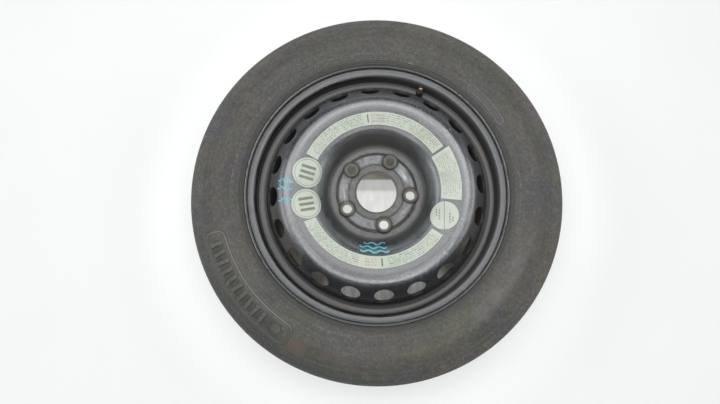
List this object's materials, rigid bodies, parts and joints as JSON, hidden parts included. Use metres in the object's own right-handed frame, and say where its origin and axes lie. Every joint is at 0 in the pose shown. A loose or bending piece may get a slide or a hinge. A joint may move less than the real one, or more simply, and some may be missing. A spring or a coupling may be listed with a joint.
{
  "type": "space saver spare wheel",
  "caption": "Narrow pressed-steel wheel with a temporary-use tyre, a domed vented disc, a stud-hole hub face and a snap-in valve, lying on its side.",
  "frame": {"origin": "centre of the hub bore on the hub mounting plane", "axes": "+Z along the wheel axis, out of the outboard side; +X and +Y in the mounting plane"},
  "size_m": [0.6272, 0.6272, 0.1411],
  "materials": {
    "tyre": "dusty matt",
    "black_paint": "worn satin",
    "valve_rubber": "matt",
    "brass": "tarnished",
    "steel": "satin",
    "gasket": "matt",
    "label": "worn film"
  },
  "bodies": {
    "wheel": {"tyre": "tyre", "rim": "black_paint", "wheel_disc": "black_paint", "disc_welds": "black_paint", "valve_rubber_body": "valve_rubber", "valve_stem": "brass", "valve_core_body": "brass", "valve_core_gasket": "gasket", "valve_core_spring": "steel", "long_label_upper": "label", "long_label_lower": "label", "wide_label": "label", "round_label_a": "label", "round_label_b": "label", "round_label_c": "label"},
    "valve_pin": {"valve_core_pin": "steel", "valve_core_cup": "brass", "valve_core_seal": "valve_rubber"}
  },
  "joints": [
    {"name": "valve_pin_press", "type": "slide", "parent": "wheel", "child": "valve_pin", "axis": [0, 0, -1], "range_m": [0, 0.0015], "stiffness_N_per_m": 400, "springref_m": -0.002, "deforming": ["valve_core_spring"]}
  ]
}
